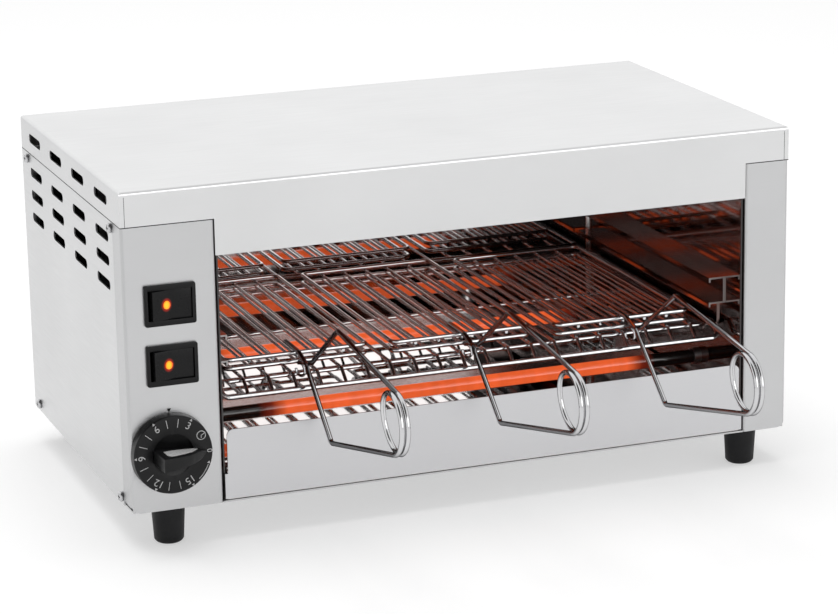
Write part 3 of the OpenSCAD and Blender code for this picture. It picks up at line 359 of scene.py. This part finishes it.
nodeFinish = {
    "top_cover": "coverSheet", "left_column": "columnSheetPaintedShade", "right_column": "columnSheetPaintedShade",
    "left_side_panel": "sideSheet", "right_side_panel": "sideSheet", "rear_panel": "coverSheet",
    "base_pan": "columnSheetPaintedShade", "crumb_tray": "traySheet",
    "left_partition": "wallSheet", "right_partition": "wallSheet", "back_reflector": "polished",
    "top_reflector": "roofSheet", "left_rail": "railSheet", "right_rail": "railSheet",
    "low_front_tube": "quartz", "low_rear_tube": "quartz", "high_front_tube": "quartz",
    "high_rear_tube": "quartz", "heater_coils": "hotWire", "tube_bushes": "bushMetal",
    "tube_caps": "ceramic", "link_straps": "brass", "rack": "plated",
    "high_switch_housing": "switchBlack", "low_switch_housing": "switchBlack",
    "high_rocker": "upperRocker", "low_rocker": "lowerRocker",
    "high_lens": "upperLamp", "low_lens": "lowerLamp",
    "timer_body": "timerMetal", "timer_shaft": "timerMetal", "timer_knob": "knobBlack",
    "knob_insert": "insertGrey", "terminal_block": "ceramic", "cable_gland": "glandBlack",
    "gland_nut": "glandBlack", "feet": "rubber", "foot_screws": "screwSteel",
    "side_screws": "screwSteel", "rear_screws": "screwSteel",
}
for number in (1, 2, 3):
    for piece in ("low_grid", "high_grid"):
        nodeFinish["tong_%d_%s" % (number, piece)] = "plated"
    for piece in ("high_handle", "low_handle"):
        nodeFinish["tong_%d_%s" % (number, piece)] = "handleWirePaintedShade"
for name, node in nodes.items():
    node.data.materials.clear()
    node.data.materials.append(finishes[nodeFinish[name]])
print("materials ready:", len(finishes))


# Stage: pale floor, soft lamp overhead and a bright room with a dim part over the camera
stageLight = {
    "room": 0.5,  # light that falls on the object from all round
    "dim": 0.06,  # what polished metal sees in the dim part of the room
    "dimAim": (-0.35, -0.45, 0.82),
    "dimEdge": (0.82, 0.93),  # as seen straight in a surface
    "deepEdge": (0.3, 0.75),  # as seen from inside the chamber, after two or more reflections
    "boxAim": (0.36, -0.885, 0.295),  # soft box at the front right, seen in polished metal
    "boxEdge": (0.93, 0.96),
    "box": 1.9,
    "backAim": (0.2, 0.95, 0.24),  # lit backdrop, seen in the top
    "backEdge": (0.5, 0.9),
    "back": 0.25,
    "floorColour": 0.56,
    "floorGlow": 0.48,
    "lampPower": 70.0,
    "lampSize": 2.4,
    "lampPlace": (-0.2, 0.45, 3.3),
    "lampAim": (0, 0, 0.1),
    "floorSize": 40,
}


def anyRay(tree, names):
    path = tree.nodes.new("ShaderNodeLightPath")
    total = path.outputs[names[0]]
    for name in names[1:]:
        most = tree.nodes.new("ShaderNodeMath")
        most.operation = "MAXIMUM"
        tree.links.new(total, most.inputs[0])
        tree.links.new(path.outputs[name], most.inputs[1])
        total = most.outputs[0]
    return total


def addRoom():
    world = bpy.data.worlds.new("room")
    scene.world = world
    world.use_nodes = True
    tree = world.node_tree
    coords = tree.nodes.new("ShaderNodeTexCoord")
    facing = []
    for aim in ("dimAim", "boxAim", "backAim"):
        towards = tree.nodes.new("ShaderNodeVectorMath")
        towards.operation = "DOT_PRODUCT"
        towards.inputs[1].default_value = stageLight[aim]
        tree.links.new(coords.outputs["Generated"], towards.inputs[0])
        facing.append(towards.outputs["Value"])
    straight = between(tree, facing[0], 1.0, stageLight["dim"], *stageLight["dimEdge"])
    deep = between(tree, facing[0], 1.0, stageLight["dim"], *stageLight["deepEdge"])
    again = between(tree, anyRay(tree, ["Ray Depth"]), 0, 1, 2, 3)  # 0 after one reflection, then 1
    dimmed = mixed(tree, again, straight, deep)
    softBox = between(tree, facing[1], 0.0, stageLight["box"], *stageLight["boxEdge"])
    backdrop = between(tree, facing[2], 0.0, stageLight["back"], *stageLight["backEdge"])
    mirrored = added(tree, added(tree, dimmed, softBox), backdrop)
    glossy = anyRay(tree, ["Is Glossy Ray", "Is Transmission Ray"])
    lit = mixed(tree, glossy, stageLight["room"], mirrored)
    seen = mixed(tree, anyRay(tree, ["Is Camera Ray"]), lit, 1.0)
    tree.nodes["Background"].inputs["Color"].default_value = (1, 1, 1, 1)
    tree.links.new(seen, tree.nodes["Background"].inputs["Strength"])


def addFloor():
    bpy.ops.object.select_all(action="DESELECT")
    bpy.ops.mesh.primitive_plane_add(size=stageLight["floorSize"], location=(0, 0, 0))
    floor = bpy.context.object
    floor.name = "floor"
    material, tree, shader = startMaterial("paleFloor")
    shader.inputs["Base Color"].default_value = (*[stageLight["floorColour"]] * 3, 1)
    shader.inputs["Roughness"].default_value = 0.9
    shader.inputs["Specular IOR Level"].default_value = 0.0
    shader.inputs["Emission Color"].default_value = (1, 1, 1, 1)
    direct = anyRay(tree, ["Is Camera Ray", "Is Glossy Ray", "Is Transmission Ray"])
    glow = between(tree, direct, 0, stageLight["floorGlow"], 0, 1)
    tree.links.new(glow, shader.inputs["Emission Strength"])
    floor.data.materials.append(material)


def addLamp():
    bpy.ops.object.light_add(type="AREA", location=stageLight["lampPlace"])
    lamp = bpy.context.object
    lamp.data.size = stageLight["lampSize"]
    lamp.data.energy = stageLight["lampPower"]
    lamp.visible_glossy = False
    aim = Vector(stageLight["lampAim"]) - lamp.location
    lamp.rotation_euler = aim.to_track_quat("-Z", "Y").to_euler()


addRoom()
addFloor()
addLamp()
print("stage ready")


# Modelling helpers
def soloSelect(piece):
    bpy.ops.object.select_all(action="DESELECT")
    piece.select_set(True)
    bpy.context.view_layer.objects.active = piece


def selectFaces(piece, test):
    bpy.ops.object.mode_set(mode="EDIT")
    bpy.ops.mesh.select_mode(type="FACE")
    bpy.ops.mesh.select_all(action="DESELECT")
    bpy.ops.object.mode_set(mode="OBJECT")
    for face in piece.data.polygons:
        face.select = test(face)
    bpy.ops.object.mode_set(mode="EDIT")


def selectCorners(piece, test):
    bpy.ops.object.mode_set(mode="EDIT")
    bpy.ops.mesh.select_mode(type="VERT")
    bpy.ops.mesh.select_all(action="DESELECT")
    bpy.ops.object.mode_set(mode="OBJECT")
    for corner in piece.data.vertices:
        corner.select = test(corner.co)
    bpy.ops.object.mode_set(mode="EDIT")


def applyModifier(piece, kind, **settings):
    soloSelect(piece)
    bpy.ops.object.modifier_add(type=kind)
    modifier = piece.modifiers[-1]
    for key, value in settings.items():
        setattr(modifier, key, value)
    bpy.ops.object.modifier_apply(modifier=modifier.name)


def settle(piece, name, finish, body):
    soloSelect(piece)
    bpy.ops.object.transform_apply(location=True, rotation=True, scale=True)
    bpy.ops.object.shade_smooth_by_angle(angle=math.radians(35))
    piece.name = name
    piece.data.materials.clear()
    piece.data.materials.append(finishes[finish])
    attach(piece, body)
    return piece


def joinAll(parts):
    bpy.ops.object.select_all(action="DESELECT")
    for part in parts:
        part.select_set(True)
    bpy.context.view_layer.objects.active = parts[0]
    bpy.ops.object.join()
    return bpy.context.object


# Moulded pieces get the small edge roundings that the solids leave out
moulding = {
    "high_switch_housing": ("upperBezel", 0.5, "case", "switch_black"),
    "low_switch_housing": ("lowerBezel", 0.5, "case", "switch_black"),
    "high_rocker": ("upperRocker", 0.6, "upper_rocker", "switch_black"),
    "low_rocker": ("lowerRocker", 0.6, "lower_rocker", "switch_black"),
    "timer_knob": ("timerKnob", 0.5, "knob", "knob_black"),
    "knob_insert": ("knobInsert", 0.12, "knob", "insert_grey"),
    "feet": ("rubberFeet", 1.2, "case", "foot_rubber"),
    "cable_gland": ("cableGland", 0.4, "case", "gland_plastic"),
}


def roundEdges(node, name, width, body):
    piece = bpy.data.objects.new(name, nodes[node].data.copy())
    scene.collection.objects.link(piece)
    soloSelect(piece)
    bpy.ops.object.mode_set(mode="EDIT")
    bpy.ops.mesh.select_all(action="SELECT")
    bpy.ops.mesh.remove_doubles(threshold=0.002 * mm)
    bpy.ops.mesh.dissolve_limited(angle_limit=math.radians(0.5))
    bpy.ops.object.mode_set(mode="OBJECT")
    applyModifier(piece, "BEVEL", width=width * mm, segments=3, limit_method="ANGLE",
                  angle_limit=math.radians(40), use_clamp_overlap=True, harden_normals=False)
    settle(piece, name, nodeFinish[node], body)
    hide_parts(node)


for node, (name, width, body, slot) in moulding.items():
    roundEdges(node, name, width, body)
print("moulded pieces ready:", len(moulding))


# Dial print on the knob skirt: numbers, ticks, pointers, a clock sign and a turning arrow
dialPrint = {
    "skirt": 6.4,  # skirt height, back to dial face
    "numbers": {"0": 0, "3": 60, "6": 120, "9": 180, "12": 240, "15": 300},
    "numberSize": 6.4,
    "numberRadius": 19.5,
    "zero": (4.8, 22.5),  # size and radius of the nought at the rim
    "ticks": (80, 100, 140, 160, 200, 220, 260, 280),
    "tickRadius": 19.8,
    "tickSize": (0.4, 5.4),
    "pointerRadius": 23.5,
    "pointerSize": 1.1,
    "arc": (22.9, 0.45, 313, 338),  # radius, width and angles of the turning arrow
    "arrowAhead": 3,
    "clockAngle": 30,
    "clockRadius": 20.4,
    "clockSize": 3.0,
    "thickness": 0.1,
}


def dialText(body, size):
    bpy.ops.object.select_all(action="DESELECT")
    bpy.ops.object.text_add(location=(0, 0, 0))
    text = bpy.context.object
    text.data.body = body
    text.data.size = size
    text.data.align_x = "CENTER"
    text.data.align_y = "CENTER"
    bpy.ops.object.convert(target="MESH")
    return bpy.context.object


def dialBar(width, length):
    bpy.ops.object.select_all(action="DESELECT")
    bpy.ops.mesh.primitive_plane_add(size=1, location=(0, 0, 0))
    bar = bpy.context.object
    bar.scale = (width, length, 1)
    bpy.ops.object.transform_apply(location=False, rotation=False, scale=True)
    bpy.ops.object.mode_set(mode="EDIT")
    bpy.ops.mesh.bevel(offset=width * 0.3, segments=2, affect="VERTICES")
    bpy.ops.object.mode_set(mode="OBJECT")
    return bar


def dialPointer(size):
    bpy.ops.object.select_all(action="DESELECT")
    bpy.ops.mesh.primitive_circle_add(vertices=3, radius=size, fill_type="NGON", location=(0, 0, 0))
    pointer = bpy.context.object
    bpy.ops.object.mode_set(mode="EDIT")
    bpy.ops.mesh.bevel(offset=size * 0.12, segments=2, affect="VERTICES")
    bpy.ops.object.mode_set(mode="OBJECT")
    return pointer


def angleOf(place):
    return math.degrees(math.atan2(place.y, place.x)) % 360


def dialRing(radius, width, start=0, end=360):
    bpy.ops.object.select_all(action="DESELECT")
    bpy.ops.mesh.primitive_circle_add(vertices=180, radius=radius, fill_type="NOTHING",
                                      location=(0, 0, 0))
    ring = bpy.context.object
    bpy.ops.object.mode_set(mode="EDIT")
    bpy.ops.mesh.select_all(action="SELECT")
    bpy.ops.mesh.extrude_edges_move()
    bpy.ops.transform.resize(value=((radius + width) / radius,) * 3)
    bpy.ops.object.mode_set(mode="OBJECT")
    if end - start < 360:
        selectFaces(ring, lambda face: not start <= angleOf(face.center) <= end)
        bpy.ops.mesh.delete(type="FACE")
        bpy.ops.object.mode_set(mode="OBJECT")
    return ring


def putOnDial(part, radius, angle, extraTurn=0):
    swing = Matrix.Rotation(math.radians(angle - 90), 4, "Z")
    own = Matrix.Rotation(math.radians(extraTurn), 4, "Z")
    part.data.transform(swing @ Matrix.Translation((0, radius, 0)) @ own)
    return part


def makeDialPrint():
    low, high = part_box("timer_knob")
    parts = []
    for body, angle in dialPrint["numbers"].items():
        size, radius = dialPrint["numberSize"], dialPrint["numberRadius"]
        if body == "0":
            size, radius = dialPrint["zero"]
        parts.append(putOnDial(dialText(body, size * mm), radius * mm, angle))
        if body != "0":
            pointer = dialPointer(dialPrint["pointerSize"] * mm)
            parts.append(putOnDial(pointer, dialPrint["pointerRadius"] * mm, angle))
    for angle in dialPrint["ticks"]:
        width, length = dialPrint["tickSize"]
        parts.append(putOnDial(dialBar(width * mm, length * mm), dialPrint["tickRadius"] * mm, angle))
    radius, width, start, end = dialPrint["arc"]
    parts.append(dialRing(radius * mm, width * mm, start, end))
    arrow = dialPointer(dialPrint["pointerSize"] * mm)
    parts.append(putOnDial(arrow, (radius + width / 2) * mm, end + dialPrint["arrowAhead"], 90))
    size = dialPrint["clockSize"] * mm
    hands = [dialBar(size * 0.16, size * 0.8), dialBar(size * 0.16, size * 0.6)]
    hands[0].data.transform(Matrix.Translation((0, size * 0.35, 0)))
    hands[1].data.transform(Matrix.Rotation(math.radians(-120), 4, "Z")
                            @ Matrix.Translation((0, size * 0.25, 0)))
    clock = joinAll([dialRing(size * 0.82, size * 0.16), *hands])
    parts.append(putOnDial(clock, dialPrint["clockRadius"] * mm, dialPrint["clockAngle"]))
    marks = joinAll(parts)
    faceY = high.y - dialPrint["skirt"] * mm
    marks.data.transform(Matrix.Translation(((low.x + high.x) / 2, faceY, (low.z + high.z) / 2))
                         @ Matrix.Rotation(math.radians(90), 4, "X"))
    applyModifier(marks, "SOLIDIFY", thickness=dialPrint["thickness"] * mm, offset=0)
    settle(marks, "dialPrint", "dialWhite", "knob")


makeDialPrint()
print("dial ready")


# Index mark on the panel over the knob
indexMark = {"radius": 1.5, "height": 0.8, "above": 1.6, "round": 0.2}


def makeIndexMark():
    low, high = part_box("timer_knob")
    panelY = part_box("left_column")[0].y
    bpy.ops.object.select_all(action="DESELECT")
    place = ((low.x + high.x) / 2, panelY, high.z + indexMark["above"] * mm)
    pointDown = (math.radians(90), math.radians(180), 0)
    bpy.ops.mesh.primitive_circle_add(vertices=3, radius=indexMark["radius"] * mm, fill_type="NGON",
                                      location=place, rotation=pointDown)
    mark = bpy.context.object
    bpy.ops.object.transform_apply(location=True, rotation=True, scale=True)
    bpy.ops.object.mode_set(mode="EDIT")
    bpy.ops.mesh.select_all(action="SELECT")
    outward = (0, -indexMark["height"] * mm, 0)
    bpy.ops.mesh.extrude_region_move(TRANSFORM_OT_translate={"value": outward})
    bpy.ops.mesh.select_all(action="SELECT")
    bpy.ops.mesh.normals_make_consistent(inside=False)
    bpy.ops.object.mode_set(mode="OBJECT")
    applyModifier(mark, "BEVEL", width=indexMark["round"] * mm, segments=2)
    settle(mark, "indexMark", "switchBlack", "case")


makeIndexMark()
print("index mark ready")


# Pan-head screws with a cross recess
screwHead = {
    "radius": 3.3,
    "height": 2.2,
    "crown": 0.9,  # width of the top, as a share of the head
    "round": 0.45,  # edge rounding, as a share of the height
    "recess": (0.9, 4.2, 1.2),  # width, length and depth of the cross
}


def makeScrewHead():
    bpy.ops.object.select_all(action="DESELECT")
    radius, height = screwHead["radius"] * mm, screwHead["height"] * mm
    bpy.ops.mesh.primitive_cylinder_add(vertices=40, radius=radius, depth=height,
                                        location=(0, 0, height / 2))
    head = bpy.context.object
    bpy.ops.object.transform_apply(location=True, rotation=True, scale=True)
    selectFaces(head, lambda face: face.normal.z > 0.9)
    bpy.ops.transform.resize(value=(screwHead["crown"], screwHead["crown"], 1))
    bpy.ops.object.mode_set(mode="OBJECT")
    applyModifier(head, "BEVEL", width=height * screwHead["round"], segments=4,
                  limit_method="ANGLE", angle_limit=math.radians(60))
    width, length, depth = (size * mm for size in screwHead["recess"])
    bars = []
    for turn in (0, 90):
        bpy.ops.object.select_all(action="DESELECT")
        bpy.ops.mesh.primitive_cube_add(size=1, location=(0, 0, height),
                                        rotation=(0, 0, math.radians(turn)))
        bars.append(bpy.context.object)
        bars[-1].scale = (length, width, depth * 2)
        bpy.ops.object.transform_apply(location=True, rotation=True, scale=True)
    for bar in bars:
        applyModifier(head, "BOOLEAN", operation="DIFFERENCE", object=bar, solver="EXACT")
        bpy.data.objects.remove(bar)
    return head


def placeScrews(pattern, name, node, places):
    copies = []
    for place, outward in places:
        copy = bpy.data.objects.new(name, pattern.data.copy())
        scene.collection.objects.link(copy)
        facing = Vector(outward).to_track_quat("Z", "Y").to_matrix().to_4x4()
        copy.data.transform(Matrix.Translation(place) @ facing)
        copies.append(copy)
    piece = settle(joinAll(copies), name, "screwSteel", "case")
    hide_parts(node)


def makeScrews():
    pattern = makeScrewHead()
    radius, height = screwHead["radius"] * mm, screwHead["height"] * mm
    low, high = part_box("side_screws")
    sides = [((x, y, z), (way, 0, 0)) for x, way in ((low.x + height, -1), (high.x - height, 1))
             for y in (low.y + radius, high.y - radius) for z in (low.z + radius, high.z - radius)]
    placeScrews(pattern, "sideScrews", "side_screws", sides)
    low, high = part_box("rear_screws")
    xs = (low.x + radius, (low.x + high.x) / 2, high.x - radius)
    rear = [((x, high.y - height, (low.z + high.z) / 2), (0, 1, 0)) for x in xs]
    placeScrews(pattern, "rearScrews", "rear_screws", rear)
    bpy.data.objects.remove(pattern)


makeScrews()
print("screws ready")


# Folds in the rear corners of the chamber, in steel lighter than the walls beside them: painted
# highlight
cornerFold = {"wide": 3.2, "deep": 1.35, "round": 0.1}


def makeCornerFolds():
    low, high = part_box("back_reflector")
    wide, deep = cornerFold["wide"] * mm, cornerFold["deep"] * mm
    tall = high.z - low.z
    walls = ((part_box("left_partition")[1].x, 1), (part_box("right_partition")[0].x, -1))
    folds = []
    for wallX, way in walls:
        bpy.ops.object.select_all(action="DESELECT")
        place = (wallX + way * wide / 2, low.y - deep / 2, low.z + tall / 2)
        bpy.ops.mesh.primitive_cube_add(size=1, location=place)
        fold = bpy.context.object
        fold.scale = (wide, deep, tall)
        bpy.ops.object.transform_apply(location=True, rotation=True, scale=True)
        selectCorners(fold, lambda point: abs(point.x - wallX) > wide / 2 and point.y < place[1])
        bpy.ops.transform.translate(value=(0, deep, 0))
        bpy.ops.mesh.select_all(action="SELECT")
        bpy.ops.mesh.remove_doubles(threshold=0.05 * mm)
        bpy.ops.mesh.normals_make_consistent(inside=False)
        bpy.ops.object.mode_set(mode="OBJECT")
        applyModifier(fold, "BEVEL", width=cornerFold["round"] * mm, segments=2)
        folds.append(fold)
    settle(joinAll(folds), "cornerFolds", "foldSheetPaintedHighlight", "case")


makeCornerFolds()
print("corner folds ready")


# Dark strips where the cover meets the side panels and the columns: real joints, with the shadow of
# the cover's edge painted along them; the thin upright strips near the front corners are painted
# shade
coverSeamShadow = {"height": 0.6, "proud": 0.08, "depth": 0.5, "corner": 3.0, "thin": 0.3, "round": 0.05}


def seamShadowStrip(low, high):
    bpy.ops.object.select_all(action="DESELECT")
    middle = [(a + b) / 2 for a, b in zip(low, high)]
    bpy.ops.mesh.primitive_cube_add(size=1, location=middle)
    strip = bpy.context.object
    strip.scale = [b - a for a, b in zip(low, high)]
    bpy.ops.object.transform_apply(location=True, rotation=True, scale=True)
    applyModifier(strip, "BEVEL", width=coverSeamShadow["round"] * mm, segments=2)
    return strip


def makeCoverSeamShadows():
    low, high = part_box("top_cover")
    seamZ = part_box("left_column")[1].z
    proud, depth = coverSeamShadow["proud"] * mm, coverSeamShadow["depth"] * mm
    tall, thin, corner = (coverSeamShadow[key] * mm for key in ("height", "thin", "corner"))
    bottom, top = seamZ - tall / 2, seamZ + tall / 2
    columns = ((low.x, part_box("left_column")[1].x), (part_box("right_column")[0].x, high.x))
    strips = []
    for side, inward in ((low.x - proud, low.x + depth), (high.x - depth, high.x + proud)):
        strips.append(seamShadowStrip((side, low.y, bottom), (inward, high.y, top)))
    for start, end in columns:
        strips.append(seamShadowStrip((start, low.y - proud, bottom), (end, low.y + depth, top)))
    for x in (low.x + corner, high.x - corner):
        foot = (x - thin / 2, low.y - proud, bottom)
        head = (x + thin / 2, low.y + depth, high.z - corner)
        strips.append(seamShadowStrip(foot, head))
    settle(joinAll(strips), "coverSeamShadows", "seamShadowBlack", "case")


makeCoverSeamShadows()
print("cover seam shadows ready")


# Near-black sheet behind the rear vents: painted shade inside the case
ventShadeSheet = {
    "width": 40.0,
    "height": 90.0,
    "inset": 2.5,  # from the outside of the rear panel
    "drop": 4.0,  # below the top of the column
    "rim": 3.0,
    "dish": 2.0,
    "thickness": 0.4,
}


def makeVentShadeSheet():
    middleX = (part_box("cable_gland")[0].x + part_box("cable_gland")[1].x) / 2
    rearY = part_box("rear_panel")[1].y - ventShadeSheet["inset"] * mm
    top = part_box("left_column")[1].z - ventShadeSheet["drop"] * mm
    tall, wide = ventShadeSheet["height"] * mm, ventShadeSheet["width"] * mm
    bpy.ops.object.select_all(action="DESELECT")
    bpy.ops.mesh.primitive_plane_add(size=1, location=(middleX, rearY, top - tall / 2),
                                     rotation=(math.radians(90), 0, 0))
    ventShadeBlack = bpy.context.object
    ventShadeBlack.scale = (wide, tall, 1)
    bpy.ops.object.transform_apply(location=True, rotation=True, scale=True)
    bpy.ops.object.mode_set(mode="EDIT")
    bpy.ops.mesh.select_all(action="SELECT")
    bpy.ops.mesh.inset(thickness=ventShadeSheet["rim"] * mm, depth=0)
    bpy.ops.transform.translate(value=(0, -ventShadeSheet["dish"] * mm, 0))
    bpy.ops.mesh.subdivide(number_cuts=6)
    bpy.ops.object.mode_set(mode="OBJECT")
    applyModifier(ventShadeBlack, "SOLIDIFY", thickness=ventShadeSheet["thickness"] * mm, offset=0)
    settle(ventShadeBlack, "ventShadeSheet", "ventShadeBlack", "case")


makeVentShadeSheet()
print("vent shade sheet ready")
